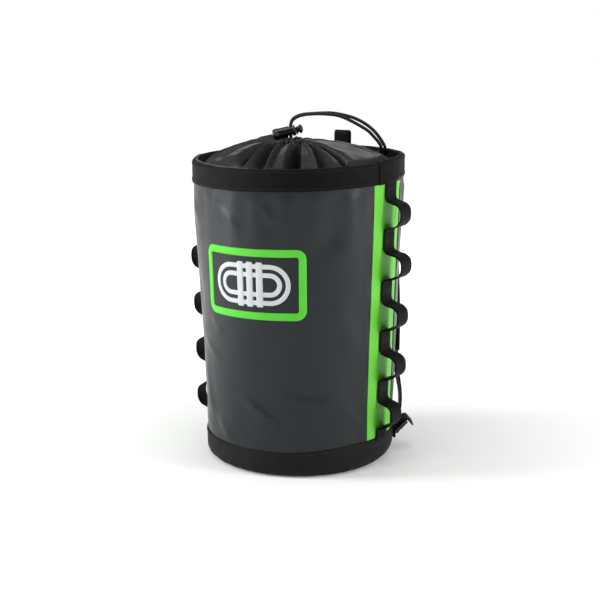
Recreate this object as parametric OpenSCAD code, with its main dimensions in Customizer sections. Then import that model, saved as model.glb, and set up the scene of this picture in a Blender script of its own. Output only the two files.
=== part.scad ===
// Rope storage bag: an open-topped round bag of welded tarpaulin with a stiff webbing rim,
// a gathered drawcord collar, two side daisy chains, shoulder straps and a rear haul loop.
// +Z is up, the front faces -Y, and the origin is the centre of the base's underside.

/* [Bag] */
// Height from the base to the top of the rim
bag_h = 360; // [340:5:380]
// Diameter over the rim binding
rim_d = 250; // [244:1:256]
// Diameter over the wall at the base
base_d = 224; // [218:1:230]
// Thickness of the tarpaulin
wall_t = 1.2; // [1:0.1:1.4]
// Angle from the front to the middle of each side panel, in degrees
side_mid = 84; // [82:1:90]
// Arc of each side panel, in degrees
side_arc = 30; // [26:1:36]
// Height of the base band
band_h = 30; // [26:1:34]
// Radius of the rounded lower edge
foot_r = 11; // [8:1:12]

/* [Webbing] */
// Thickness of all webbing
web_t = 1.5; // [1.2:0.1:1.5]
// Width of the rim, chain and strap webbing
web_w = 25; // [20:1:26]
// Width of the haul loop webbing
haul_w = 20; // [16:1:22]
// Distance between daisy chain loops
loop_pitch = 59; // [56:1:60]
// Height of the top loop's crest
loop_top_z = 297; // [290:1:300]
// How much lower the left chain sits
left_drop = 4; // [0:1:8]
// Height of the haul loop above the rim
haul_h = 20; // [18:1:24]

/* [Collar] */
// Rise of the gathered collar above its seam
collar_rise = 44; // [40:1:44]
// Height of the collar seam below the rim
collar_drop = 24; // [23:1:24]
// Thickness of the gathered fabric
collar_t = 0.8; // [0.6:0.1:0.8]
// Diameter of the drawcord
cord_d = 4; // [3.6:0.1:4]

/* [Cord lock] */
// Diameter of the barrel
barrel_d = 12.7; // [12.6:0.1:13]
// Length of the barrel
barrel_len = 26; // [25:0.5:27]
// Diameter of the press knob
knob_d = 10; // [9:0.5:10.5]
// Travel of the press knob
press_travel = 4; // [3:0.5:4]

/* [Badge] */
// Width of the badge
badge_w = 132; // [120:1:134]
// Height of the badge
badge_h = 82; // [78:1:84]
// Width of the badge border
border_w = 9; // [8:1:10]
// Height of the badge centre
badge_z = 229; // [220:1:235]

/* [Hidden] */
$fn = 96;

// Colours
tarp_grey = [0.17, 0.19, 0.20];
lime = [0.42, 0.85, 0.28];
web_black = [0.09, 0.09, 0.10];
nylon_grey = [0.24, 0.24, 0.26];
plastic_black = [0.06, 0.06, 0.06];
badge_pale = [0.82, 0.84, 0.85];

// Body of the bag: the wall's outer radius grows a little from the base to the rim
base_r = base_d / 2;
rim_r = rim_d / 2;
rim_w = 25;
rim_z = bag_h - rim_w;
rim_wall_r = rim_r - web_t;
flare = 1.25;
wall_foot_z = 16;
hoop_t = 1.5;
rim_in = rim_wall_r - wall_t - hoop_t - web_t;
stations = [wall_foot_z, band_h, 60, 95, 130, 165, 200, 235, 270, 305];
band_t = 1.2;
disc_r = base_r - foot_r - 1;
disc_t = 1.4;
panel_edge = side_mid - side_arc / 2;
panel_rear = side_mid + side_arc / 2;
rim_hoop_gap = 2;
badge_turn = -1.5;
badge_gap = 0.05;
function wall_r(z) =
  z >= rim_z ? rim_wall_r : base_r + (rim_wall_r - base_r) * pow(max(z, 0) / rim_z, flare);
function heights(z0, z1) =
  concat([z0], [for (z = concat(stations, [rim_z])) if (z > z0 && z < z1) z], [z1]);
function rev(list) = [for (i = [len(list) - 1:-1:0]) list[i]];

// Eyelets in the base
eyelet_r = 5;
eyelet_wall = 1;
eyelet_flange_r = 9;
eyelet_x = 55;

// Collar: rings run from the throat (t = 0) to the seam at the rim (t = 1)
throat = [-10, -5];
throat_r = 14.4;
seam_z = bag_h - collar_drop;
collar_seam_h = 7;
collar_rings = 14;
collar_sides = 48;
dip = 6;
dome_power = 2.6;
hem_major = 11;
hem_minor = 3.1;
hem_hole = cord_d / 2 + 0.3;
hem_z = 376;

// Drawcord: out of the throat, up through the lock, over to the rear of the rim, round the
// groove behind the collar to a loop on its rear slope, and back the same way
cord_route = [
  [-10, -4, 372], [-10, -4, 388], [-10, -4, 397], [-8, -1.5, 402.5], [-2.5, 5.5, 406.5],
  [7, 16.5, 408], [20, 33, 407], [33, 48, 403], [52, 71, 388], [60, 80, 378], [66, 88, 366],
  [60, 96.5, 357], [39, 107.5, 355.5], [-8, 114, 356], [-46, 97, 362], [-57, 85, 367],
  [-66, 76, 370], [-74, 71, 369], [-81, 72, 364], [-83, 79, 358], [-76, 87, 354],
  [-57, 101, 352], [-29, 113, 352], [0, 117, 351], [34, 112, 351], [57.5, 101.5, 352],
  [67.5, 95.5, 356.5], [70, 91.5, 364.5], [66, 88, 374], [59, 82, 385], [51, 73, 394],
  [41, 63, 401], [30.5, 51, 405.5], [20, 39, 408], [5, 21.5, 408], [-4, 10.5, 407],
  [-10, 3, 403], [-12, 0, 397], [-12, 0, 386], [-12, 0, 372]
];
cord_steps = 2;
cord_sides = 8;

// Cord lock: its axis lies across the cord and rises to the right
lock_at = [-11, -2, 388.9];
lock_turn = 26;
lock_rise = 13;
lock_left = -20.5;
barrel_bore_r = 5.3;
barrel_end_t = 2;
shaft_r = 5.2;
shaft_in = -8;
neck_r = 3.6;
knob_len = 7;
slot_l = 5.4;
slot_w = 9;
spring_wire = 0.8;
spring_turns = 5;
spring_r = 3.9;

// Daisy chain: centre line of one loop as [distance out, height above the crest], for a loop
// that stands loop_out proud
loop_out = 18;
loop_line = [
  [0, 25], [0.3, 21], [2.2, 17.5], [7, 15.4], [12.5, 13.6], [16.8, 9], [18, 2], [17.2, -5],
  [13, -10.5], [6.5, -13.4], [1.2, -15.4], [0, -18]
];
left_out = [3, 15, 15, 16, 17];
right_out = [20.5, 24, 22.5, 22, 19];
chain_top = rim_z - 0.3;
chain_foot = band_h + 0.3;

// Haul loop
haul_pivot_z = bag_h + 5.5;
haul_gap = rim_r - rim_in;
haul_mid = (rim_r + rim_in) / 2;
haul_foot_z = haul_pivot_z + 0.5;
haul_top_z = bag_h + haul_h;
haul_out_r = haul_gap / 2 + web_t;

// Shoulder strap route as [angle from the front, height, distance off the wall]
strap_w = 45;
face_t = 1.2;
pad_t = 2.6;
layer_gap = 0.3;
pad_route = [
  [166, 326, 1.5], [163, 305, 2.5], [158, 275, 5.5], [152, 243, 8], [146, 212, 7],
  [139.5, 180, 4.5], [133, 149, 2.6], [126.5, 116, 1.6]
];
web_route = [
  [126.8, 114.5, 4.1], [124.6, 103, 4.6], [122.2, 88, 6.4], [120, 70, 9.2], [118.6, 54, 9.6],
  [118, 44, 7.8], [118, 38.5, 5.6]
];
yoke_z = 296;
yoke_arc = 23;
yoke_t = 1.2;

// Strap buckle, in the upright plane through the bag's axis: [distance off the band, height]
buckle_angle = 118;
buckle_tilt = 45;
bar_at = [4.2, 24];
bar_r = 1.6;
band_r = wall_r(band_h) + band_t;
buckle_w = 31;
rail_w = 2;
buckle_len = 17;
buckle_t = 3.6;
mid_bar = [5.8, 7.9];
mid_bar_t = 2.2;
lip_from = 11.8;
tab_hole_r = 2;
tab_foot = 15;

// Rope tie-in loop inside the rear wall
tie_z = 46;
tie_in = 18;
tie_w = 20;

// ---- Helpers ----

// Turns something drawn at the front round to the given angle
module facing(angle) rotate([0, 0, angle]) children();

// A flat profile of [distance from the axis, height], given a width across
module rib(width) rotate([90, 0, -90]) linear_extrude(width, center = true) children();

// A skin that follows the wall, from one angle to another
module skin(z0, z1, inner, outer, from, to) {
  zs = heights(z0, z1);
  outline = concat(
    [for (z = zs) [wall_r(z) + outer, z]],
    [for (z = rev(zs)) [wall_r(z) + inner, z]]
  );
  if (to - from >= 360) rotate_extrude() polygon(outline);
  else rotate([0, 0, from - 90]) rotate_extrude(angle = to - from) polygon(outline);
}

module ring(r_in, r_out, z0, z1) {
  rotate_extrude() translate([r_in, z0]) square([r_out - r_in, z1 - z0]);
}

// Smooth curve through a list of points, with the given number of steps between two points
function pick(p, i) = p[max(0, min(len(p) - 1, i))];
function blend_at(p, i, u) =
  0.5 * (2 * p[i] + (pick(p, i + 1) - pick(p, i - 1)) * u
    + (2 * pick(p, i - 1) - 5 * p[i] + 4 * pick(p, i + 1) - pick(p, i + 2)) * u * u
    + (3 * p[i] - pick(p, i - 1) - 3 * pick(p, i + 1) + pick(p, i + 2)) * u * u * u);
function smooth(p, steps) =
  concat([for (i = [0:len(p) - 2]) for (k = [0:steps - 1]) blend_at(p, i, k / steps)],
    [p[len(p) - 1]]);

// Flat outline of the given thickness round a centre line
function normal2(p, i) =
  let (d = pick(p, i + 1) - pick(p, i - 1)) [-d[1], d[0]] / norm(d);
function thick(p, t) = concat(
  [for (i = [0:len(p) - 1]) p[i] + normal2(p, i) * t / 2],
  [for (i = [len(p) - 1:-1:0]) p[i] - normal2(p, i) * t / 2]
);

// Triangles of a closed strip of quads between rows of n points
function row_faces(rows, n) = [
  for (j = [0:rows - 2]) for (i = [0:n - 1]) each let (
    a = j * n + i, b = j * n + (i + 1) % n, c = a + n, d = b + n
  ) [[a, b, d], [a, d, c]]
];

// ---- Bag body ----

module wall_panel(from, to) skin(wall_foot_z, bag_h - web_t, -wall_t, 0, from, to);

module front_panel() color(tarp_grey) wall_panel(-panel_edge, panel_edge);

module back_panel() color(tarp_grey) wall_panel(panel_rear, 360 - panel_rear);

module side_panel_left() color(lime) wall_panel(-panel_rear, -panel_edge);

module side_panel_right() color(lime) wall_panel(panel_edge, panel_rear);

// Band round the foot of the wall, turned under with a round lower edge
module base_band() {
  r = wall_r(wall_foot_z);
  inner = r + band_t - foot_r;
  outline = concat(
    [[wall_r(band_h), band_h], [band_r, band_h], [r + band_t, wall_foot_z]],
    [for (a = [0:10:90]) [inner + foot_r * cos(a), foot_r - foot_r * sin(a)]],
    [[disc_r, 0], [disc_r, band_t]],
    [for (a = [90:-10:0])
      [inner + (foot_r - band_t) * cos(a), foot_r - (foot_r - band_t) * sin(a)]],
    [[r, wall_foot_z]]
  );
  color(web_black) rotate_extrude() polygon(outline);
}

module base_disc() {
  color(web_black) difference() {
    cylinder(r = disc_r, h = disc_t);
    for (s = [-1, 1]) translate([s * eyelet_x, 0, -1])
      cylinder(r = eyelet_r + eyelet_wall, h = disc_t + 2);
  }
}

module drain_eyelets() {
  color("gray") for (s = [-1, 1]) translate([s * eyelet_x, 0, 0]) {
    ring(eyelet_r, eyelet_r + eyelet_wall, 0, disc_t);
    ring(eyelet_r, eyelet_flange_r, disc_t, disc_t + 0.8);
  }
}

// Webbing folded over the top edge of the wall
module rim_binding() {
  color(web_black) rotate_extrude() polygon([
    [rim_in, rim_z], [rim_in, bag_h], [rim_r, bag_h], [rim_r, rim_z], [rim_wall_r, rim_z],
    [rim_wall_r, bag_h - web_t], [rim_in + web_t, bag_h - web_t], [rim_in + web_t, rim_z]
  ]);
}

// Springy plastic strip inside the binding, which holds the rim open
module rim_hoop() {
  color(plastic_black)
    ring(rim_in + web_t, rim_in + web_t + hoop_t, rim_z + rim_hoop_gap, bag_h - web_t);
}

// ---- Collar ----

function collar_z(t) =
  seam_z + collar_rise * sqrt(1 - pow(t, dome_power)) - dip * exp(-t * t / 0.04);
function collar_ring(t, z, inset) = [
  for (i = [0:collar_sides - 1]) let (
    a = 360 * i / collar_sides, r = throat_r + (rim_in - 0.05 - throat_r) * t - inset
  ) [throat[0] * (1 - t) + r * cos(a), throat[1] * (1 - t) + r * sin(a), z]
];
collar_ts = [for (j = [0:collar_rings]) sin(90 * j / collar_rings)];
collar_outer = [for (t = collar_ts) collar_ring(t, collar_z(t), 0)];
collar_inner = [for (t = rev(collar_ts)) collar_ring(t, collar_z(t) - collar_t, t * collar_t)];

module collar() {
  rows = concat(
    collar_outer,
    [collar_ring(1, seam_z - collar_seam_h, 0), collar_ring(1, seam_z - collar_seam_h, collar_t)],
    collar_inner
  );
  closed = concat(rows, [rows[0]]);
  n = collar_sides;
  last = (len(rows) - 1) * n;
  faces = concat(
    row_faces(len(rows), n),
    [for (i = [0:n - 1]) each let (a = last + i, b = last + (i + 1) % n, c = i, d = (i + 1) % n)
      [[a, b, d], [a, d, c]]]
  );
  color(nylon_grey) polyhedron([for (row = rows) each row], faces);
}

// Hollow hem round the throat, with the drawcord running inside it
module collar_hem() {
  color(nylon_grey) translate([throat[0], throat[1], hem_z]) rotate_extrude()
    translate([hem_major, 0]) difference() {
      circle(hem_minor, $fn = 32);
      circle(hem_hole, $fn = 32);
    }
}

module hem_cord() {
  color(web_black) translate([throat[0], throat[1], hem_z]) rotate_extrude()
    translate([hem_major, 0]) circle(cord_d / 2, $fn = 32);
}

// ---- Drawcord ----

function tangent(p, i) = let (d = pick(p, i + 1) - pick(p, i - 1)) d / norm(d);
// The cross-section turns with the cord and doesn't spin about it
function carry(u, t) = let (v = u - (u * t) * t) v / norm(v);
function frames(p, i = 0, u = [1, 0, 0]) =
  i == len(p) ? [] : let (t = tangent(p, i), v = carry(u, t))
    concat([[v, cross(t, v)]], frames(p, i + 1, v));

module tube(path, d, sides) {
  f = frames(path);
  points = [
    for (j = [0:len(path) - 1]) for (i = [0:sides - 1]) let (a = 360 * i / sides)
      path[j] + (f[j][0] * cos(a) + f[j][1] * sin(a)) * d / 2
  ];
  last = (len(path) - 1) * sides;
  caps = [[for (i = [sides - 1:-1:0]) i], [for (i = [0:sides - 1]) last + i]];
  polyhedron(points, concat([for (q = row_faces(len(path), sides)) rev(q)], [for (c = caps) rev(c)]));
}

module drawcord() color(web_black) tube(smooth(cord_route, cord_steps), cord_d, cord_sides);

// ---- Cord lock ----

// Puts something drawn along X, with the cord hole at the origin, where the lock sits
module at_lock() {
  translate(lock_at) rotate([0, 0, lock_turn]) rotate([0, -lock_rise, 0]) children();
}

// Upright slot for the two strands of cord, longer by the travel where the plunger slides
module cord_slot(extra) {
  lean = 9 * tan(lock_rise);
  half = slot_l / 2 / cos(lock_rise);
  rotate([90, 0, 0]) linear_extrude(slot_w, center = true) polygon([
    [-half - lean, -9], [half + extra - lean, -9], [half + extra + lean, 9], [-half + lean, 9]
  ]);
}

module lock_barrel() {
  right = lock_left + barrel_len;
  color(plastic_black) at_lock() difference() {
    rotate([0, 90, 0]) rotate([0, 0, 90]) rotate_extrude() polygon([
      [0, lock_left], [barrel_d / 2 - 1.5, lock_left], [barrel_d / 2, lock_left + 1.5],
      [barrel_d / 2, right - 0.8], [barrel_d / 2 - 0.8, right], [barrel_bore_r, right],
      [barrel_bore_r, lock_left + barrel_end_t], [0, lock_left + barrel_end_t]
    ]);
    cord_slot(0);
  }
}

module lock_plunger() {
  neck_end = lock_left + barrel_len + press_travel + 0.5;
  shaft_end = slot_l / 2 + press_travel + 1.2;
  color(plastic_black) at_lock() difference() {
    rotate([0, 90, 0]) rotate([0, 0, 90]) rotate_extrude() polygon(concat(
      [[0, shaft_in], [shaft_r, shaft_in], [shaft_r, shaft_end], [neck_r, shaft_end + 0.5],
        [neck_r, neck_end], [knob_d / 2 - 0.6, neck_end], [knob_d / 2, neck_end + 0.6]],
      [for (a = [0:15:90]) [knob_d / 2 * cos(a), neck_end + 2 + (knob_len - 4.5) * sin(a)]]
    ));
    cord_slot(press_travel);
  }
}

// Spring between the closed end of the barrel and the plunger
module lock_spring() {
  from = lock_left + barrel_end_t + spring_wire / 2 + 0.1;
  to = shaft_in - spring_wire / 2 - 0.1;
  steps = spring_turns * 10;
  path = [for (k = [0:steps])
    [from + (to - from) * k / steps, spring_r * cos(36 * k), spring_r * sin(36 * k)]];
  color("silver") at_lock() tube(path, spring_wire, 6);
}

// ---- Badge ----

module rounded_rect(w, h, r) {
  square([w - 2 * r, h], center = true);
  square([w, h - 2 * r], center = true);
  for (x = [-1, 1]) for (y = [-1, 1]) translate([x * (w / 2 - r), y * (h / 2 - r)]) circle(r);
}

// A flat outline run straight out through the front wall
module through_front() {
  translate([0, 0, badge_z]) rotate([90, 0, 0]) linear_extrude(rim_d) children();
}

// A flat outline wrapped on the front wall, between two distances off it
module on_front(inner, outer) {
  facing(badge_turn) intersection() {
    skin(badge_z - badge_h / 2 - 1, badge_z + badge_h / 2 + 1, inner, outer, -50, 50);
    through_front() children();
  }
}

module badge_inside() rounded_rect(badge_w - 2 * border_w, badge_h - 2 * border_w, 4);

module badge_field() color(tarp_grey) on_front(badge_gap, 0.6) badge_inside();

module badge_border() {
  color(lime) difference() {
    on_front(badge_gap, 1) rounded_rect(badge_w, badge_h, 11);
    facing(badge_turn) through_front() badge_inside();
  }
}

module stadium(w, h) {
  square([w - h, h], center = true);
  for (x = [-1, 1]) translate([x * (w - h) / 2, 0]) circle(h / 2);
}

// Plain sign of a hank of rope: two nested loops bound across the middle
module badge_symbol() {
  color(badge_pale) on_front(0.6, 0.9) {
    difference() {
      stadium(92, 44);
      stadium(81, 33);
    }
    difference() {
      stadium(73, 25);
      stadium(62, 14);
    }
    for (x = [-12, 0, 12]) translate([x, 0]) square([8, 52], center = true);
  }
}

// ---- Daisy chains ----

function chain_points(outs, drop) = concat(
  [[0, chain_top]],
  [for (k = [0:len(outs) - 1]) each [for (q = smooth(loop_line, 2))
    [q[0] * outs[k] / loop_out, loop_top_z - drop - k * loop_pitch + q[1]]]],
  [[0, chain_foot]]
);

module daisy_chain(outs, drop) {
  line = [for (q = chain_points(outs, drop)) [wall_r(q[1]) + web_t / 2 + 0.1 + q[0], q[1]]];
  color(web_black) rib(web_w) polygon(thick(line, web_t));
}

module daisy_chain_left() facing(-side_mid) daisy_chain(left_out, left_drop);

module daisy_chain_right() facing(side_mid) daisy_chain(right_out, 0);

// ---- Haul loop ----

// The sewn ends of the loop, one on each face of the rim
module haul_anchor() {
  inner_y = sqrt(pow(rim_in, 2) - pow(haul_w / 2, 2)) - 0.1;
  color(web_black) facing(180) {
    translate([-haul_w / 2, -rim_r - 0.1 - web_t, bag_h - 22]) cube([haul_w, web_t, 23]);
    translate([-haul_w / 2, -inner_y, bag_h - 6]) cube([haul_w, web_t, 7]);
  }
}

// The free part of the loop, which folds to and fro across the rim
module haul_loop() {
  color(web_black) facing(180) rib(haul_w) translate([haul_mid, 0]) difference() {
    union() {
      translate([-haul_out_r, haul_foot_z])
        square([2 * haul_out_r, haul_top_z - haul_out_r - haul_foot_z]);
      translate([0, haul_top_z - haul_out_r]) circle(haul_out_r);
    }
    translate([-haul_out_r + web_t, haul_foot_z - 1])
      square([2 * haul_out_r - 2 * web_t, haul_top_z - haul_out_r - haul_foot_z + 1]);
    translate([0, haul_top_z - haul_out_r]) circle(haul_out_r - web_t);
  }
}

// ---- Shoulder straps ----

// A point on a ribbon that follows the wall, side being -1 to 1 across its width
function route_slant(p, i) =
  let (a = pick(p, i - 1), b = pick(p, i + 1), r = wall_r(p[i][1]))
  atan2(b[1] - a[1], (b[0] - a[0]) * PI / 180 * r);
function ribbon_point(p, i, side, width, lift) =
  let (
    slant = route_slant(p, i), v = side * width / 2, z = p[i][1] + v * cos(slant),
    a = p[i][0] - v * sin(slant) / wall_r(p[i][1]) * 180 / PI, r = wall_r(z) + p[i][2] + lift
  ) [r * sin(a), -r * cos(a), z];

module ribbon(route, width, from, to, steps) {
  p = smooth(route, steps);
  sides = [for (s = [-2:2]) s / 2];
  points = [
    for (i = [0:len(p) - 1]) each concat(
      [for (s = sides) ribbon_point(p, i, s, width, to)],
      [for (s = rev(sides)) ribbon_point(p, i, s, width, from)]
    )
  ];
  n = 2 * len(sides);
  last = (len(p) - 1) * n;
  caps = [[for (i = [n - 1:-1:0]) i], [for (i = [0:n - 1]) last + i]];
  polyhedron(points, concat(row_faces(len(p), n), caps));
}

// Layers of a strap on the right; the left strap is its mirror image
module padded_layer(from, to) ribbon(pad_route, strap_w, from, to, 3);

module lower_webbing() ribbon(web_route, web_w, 0, web_t, 2);

module strap_face_left() mirror([1, 0, 0]) strap_face_right();

module strap_face_right() color(web_black)
  padded_layer(pad_t + layer_gap, pad_t + layer_gap + face_t);

module strap_pad_left() mirror([1, 0, 0]) strap_pad_right();

module strap_pad_right() color([0.14, 0.14, 0.15]) padded_layer(0, pad_t);

module strap_webbing_left() mirror([1, 0, 0]) strap_webbing_right();

module strap_webbing_right() color(web_black) lower_webbing();

// Patch on the rear wall that the straps are sewn to
module strap_yoke() {
  color(web_black) skin(yoke_z, rim_z - 0.3, 0, yoke_t, 180 - yoke_arc, 180 + yoke_arc);
}

// ---- Strap buckles ----

module buckle_tab() {
  color(web_black) facing(buckle_angle) rib(web_w) translate([band_r, 0]) difference() {
    union() {
      translate(bar_at) circle(tab_hole_r + web_t, $fn = 48);
      translate([0.1, tab_foot]) square([2 * web_t, bar_at[1] - 1 - tab_foot]);
    }
    translate(bar_at) circle(tab_hole_r, $fn = 48);
  }
}

module buckle_tab_left() mirror([1, 0, 0]) buckle_tab_right();

module buckle_tab_right() buckle_tab();

// Places something drawn with its bar along X and its length along Z
module at_buckle() {
  facing(buckle_angle) translate([0, -band_r - bar_at[0], bar_at[1]])
    rotate([buckle_tilt, 0, 0]) children();
}

module ladder_lock() {
  inner = buckle_w / 2 - rail_w;
  color(plastic_black) at_buckle() {
    for (s = [-1, 1]) translate([s * (inner + rail_w / 2), 0, 0]) rotate([0, 90, 0])
      cylinder(r = buckle_t / 2, h = rail_w, center = true, $fn = 48);
    for (s = [-1, 1]) translate([s * (inner + rail_w / 2) - rail_w / 2, -buckle_t / 2, 0])
      cube([rail_w, buckle_t, buckle_len]);
    translate([-inner, 0, 0]) rotate([0, 90, 0]) cylinder(r = bar_r, h = 2 * inner, $fn = 48);
    translate([-inner, -mid_bar_t / 2, mid_bar[0]])
      cube([2 * inner, mid_bar_t, mid_bar[1] - mid_bar[0]]);
    translate([-inner, -buckle_t / 2, lip_from]) cube([2 * inner, buckle_t, buckle_len - lip_from]);
  }
}

module ladder_lock_left() mirror([1, 0, 0]) ladder_lock();

module ladder_lock_right() ladder_lock();

// Webbing threaded through the buckle, with its free end, as [outward, along the buckle]
module webbing_tail() {
  line = smooth([
    [-8, 9.8], [-4.5, 6.9], [-1.6, 4.75], [1.2, 4.6], [2.5, 6.4], [1.6, 9.1], [-0.6, 9.9],
    [-2.9, 12], [-3, 15], [-1.6, 18.6], [2, 19.4], [6, 18.9], [9.5, 19]
  ], 2);
  color(web_black) at_buckle() rib(web_w) polygon(thick(line, web_t));
}

module webbing_tail_left() mirror([1, 0, 0]) webbing_tail();

module webbing_tail_right() webbing_tail();

// ---- Inside ----

// Webbing loop that the rope's end ties to, sewn to the rear wall near the base
module tie_in_loop() {
  half = 13;
  line = smooth([
    [0, tie_z + half + 14], [0, tie_z + half + 2], [3, tie_z + half - 1], [tie_in - 5, tie_z + 9],
    [tie_in, tie_z], [tie_in - 5, tie_z - 9], [3, tie_z - half + 1], [0, tie_z - half - 2],
    [0, tie_z - half - 14]
  ], 3);
  reach = function (z) sqrt(pow(wall_r(z) - wall_t, 2) - pow(tie_w / 2, 2)) - web_t / 2 - 0.15;
  color(web_black) facing(180) rib(tie_w)
    polygon(thick([for (q = line) [reach(q[1]) - q[0], q[1]]], web_t));
}

front_panel();
back_panel();
side_panel_left();
side_panel_right();
base_band();
base_disc();
drain_eyelets();
rim_binding();
rim_hoop();
collar();
collar_hem();
hem_cord();
drawcord();
lock_barrel();
lock_plunger();
lock_spring();
badge_field();
badge_border();
badge_symbol();
daisy_chain_left();
daisy_chain_right();
haul_anchor();
haul_loop();
strap_yoke();
strap_face_left();
strap_face_right();
strap_pad_left();
strap_pad_right();
strap_webbing_left();
strap_webbing_right();
buckle_tab_left();
buckle_tab_right();
ladder_lock_left();
ladder_lock_right();
webbing_tail_left();
webbing_tail_right();
tie_in_loop();
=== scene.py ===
"""Rope storage bag: cloth, webbing, materials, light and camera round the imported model."""
from math import cos, hypot, pi, radians, sin, tan

import bpy
import numpy as np
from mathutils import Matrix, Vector


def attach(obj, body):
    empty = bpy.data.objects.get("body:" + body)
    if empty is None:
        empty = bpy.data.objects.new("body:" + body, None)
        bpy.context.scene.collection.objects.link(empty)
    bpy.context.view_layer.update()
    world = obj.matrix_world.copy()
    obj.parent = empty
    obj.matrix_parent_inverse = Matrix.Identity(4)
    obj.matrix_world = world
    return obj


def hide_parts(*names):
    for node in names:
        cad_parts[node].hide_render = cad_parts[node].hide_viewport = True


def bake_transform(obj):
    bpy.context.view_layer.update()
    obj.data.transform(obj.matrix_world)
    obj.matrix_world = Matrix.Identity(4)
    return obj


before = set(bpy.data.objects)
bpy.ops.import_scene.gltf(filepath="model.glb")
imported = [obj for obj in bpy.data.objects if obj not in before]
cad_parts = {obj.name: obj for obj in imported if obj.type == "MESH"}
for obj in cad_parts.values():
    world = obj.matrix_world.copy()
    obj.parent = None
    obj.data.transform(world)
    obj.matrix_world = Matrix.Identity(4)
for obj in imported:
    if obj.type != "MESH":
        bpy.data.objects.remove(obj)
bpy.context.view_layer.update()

# ---- Main dimensions, in millimetres, as in the model ----
MM = 0.001
RIM_TOP = 360.0
RIM_FOOT = 335.0
RIM_WALL = 123.5
RIM_R = 125.0
RIM_IN = 119.3
BASE_R = 112.0
BAND_TOP = 30.0
BAND_FOOT = 16.0
BAND_T = 1.2
FOOT_R = 11.0
WEB_W = 25.0
WEB_T = 1.5
HAUL_W = 20.0
THROAT = (-10.0, -5.0)
THROAT_R = 14.4
HEM_R = 11.0
HEM_Z = 376.0
LOOP_TOP = 297.0
LOOP_PITCH = 59.0
LEFT_DROP = 4.0
SIDE_MID = 84.0
SIDE_HALF = 15.0
RIGHT_OUT = (20.5, 24, 22.5, 22, 19)
LEFT_OUT = (3, 15, 15, 16, 17)
LOOP_LINE = [
    (0, 25), (0.3, 21), (2.2, 17.5), (7, 15.4), (12.5, 13.6), (16.8, 9), (18, 2), (17.2, -5),
    (13, -10.5), (6.5, -13.4), (1.2, -15.4), (0, -18),
]
BADGE_Z = 229.0
BADGE_TURN = -1.5
CORD_D = 4.0
CORD_ROUTE = [
    (-10, -4, 372), (-10, -4, 388), (-10, -4, 397), (-8, -1.5, 402.5), (-2.5, 5.5, 406.5),
    (7, 16.5, 408), (20, 33, 407), (33, 48, 403), (52, 71, 388), (60, 80, 378), (66, 88, 366),
    (60, 96.5, 357), (39, 107.5, 355.5), (-8, 114, 356), (-46, 97, 362), (-57, 85, 367),
    (-66, 76, 370), (-74, 71, 369), (-81, 72, 364), (-83, 79, 358), (-76, 87, 354),
    (-57, 101, 352), (-29, 113, 352), (0, 117, 351), (34, 112, 351), (57.5, 101.5, 352),
    (67.5, 95.5, 356.5), (70, 91.5, 364.5), (66, 88, 374), (59, 82, 385), (51, 73, 394),
    (41, 63, 401), (30.5, 51, 405.5), (20, 39, 408), (5, 21.5, 408), (-4, 10.5, 407),
    (-10, 3, 403), (-12, 0, 397), (-12, 0, 386), (-12, 0, 372),
]
PAD_ROUTE = [
    (166, 326, 1.5), (163, 305, 2.5), (158, 275, 5.5), (152, 243, 8), (146, 212, 7),
    (139.5, 180, 4.5), (133, 149, 2.6), (126.5, 116, 1.6),
]
WEB_ROUTE = [
    (126.8, 114.5, 4.1), (124.6, 103, 4.6), (122.2, 88, 6.4), (120, 70, 9.2), (118.6, 54, 9.6),
    (118, 44, 7.8), (118, 38.5, 5.6),
]
STRAP_W = 45.0
# The soft bag leans a little: its rim is higher on one side and stands off to the other
LEAN = 3.2
LEAN_TOWARDS = 116.0
LEAN_SHIFT = (-1.6, -0.7)
# Where the rim is drawn up to a point: angle, spread in degrees and rise
RIM_CORNERS = ((98, 34, 3.2), (-80, 26, 1.6))
# Angles of the patch that covers the binding's join, and of its stitching
JOIN_SPAN = (72.5, 86)
JOIN_STITCHES = (74, 84.5, 76, 82.5)
# Extra height of the band at the right
BAND_RISE = 5.0
PANEL_T = 0.7
PANEL_LAP = 0.9
PANEL_TOP = 357.0
LOCK_AT = (-11.0, -2.0, 388.9)
LOCK_TURN = 26.0
LOCK_RISE = 13.0
LOCK_LEFT = -20.5
LOCK_RIGHT = 5.5
LOCK_R = 6.35
LOCK_GAP = 1.1
KNOB_R = 5.0
KNOB_AT = 10.7
LOCK_BODY = "cord_lock"
KNOB_BODY = "lock_plunger"


# ---- Numbers ----
def ease(a, b, x):
    """0 below a, 1 above b and smooth between."""
    t = np.clip((np.asarray(x, float) - a) / (b - a), 0, 1)
    return t * t * (3 - 2 * t)


def spline(points, steps):
    """A smooth curve through the points, as an array."""
    p = np.asarray(points, float)
    p = np.vstack([p[:1], p, p[-1:]])
    a, b, c, d = (p[i:len(p) - 3 + i, None] for i in range(4))
    u = np.linspace(0, 1, steps, endpoint=False)[None, :, None]
    curve = 0.5 * (
        2 * b + (c - a) * u + (2 * a - 5 * b + 4 * c - d) * u**2 + (3 * b - a - 3 * c + d) * u**3
    )
    return np.vstack([curve.reshape(-1, p.shape[1]), p[-1:]])


def along(points):
    """Distance run along a line at each of its points."""
    steps = np.linalg.norm(np.diff(points, axis=0), axis=1)
    return np.concatenate([[0], np.cumsum(steps)])


def unit(v):
    return v / np.maximum(np.linalg.norm(v, axis=-1, keepdims=True), 1e-9)


def sampled(values, s, at):
    """Rows of values known at distances s, at other distances."""
    return np.stack([np.interp(at, s, column) for column in values.T], axis=-1)


def evenly(points, step):
    """The same line with its points about a step apart."""
    s = along(points)
    n = max(2, int(round(s[-1] / step)) + 1)
    return sampled(points, s, np.linspace(0, s[-1], n))


# ---- Wall ----
def wall_r(z):
    grow = np.clip(np.asarray(z, float) / RIM_FOOT, 0, 1) ** 1.25
    return BASE_R + (RIM_WALL - BASE_R) * grow


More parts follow.
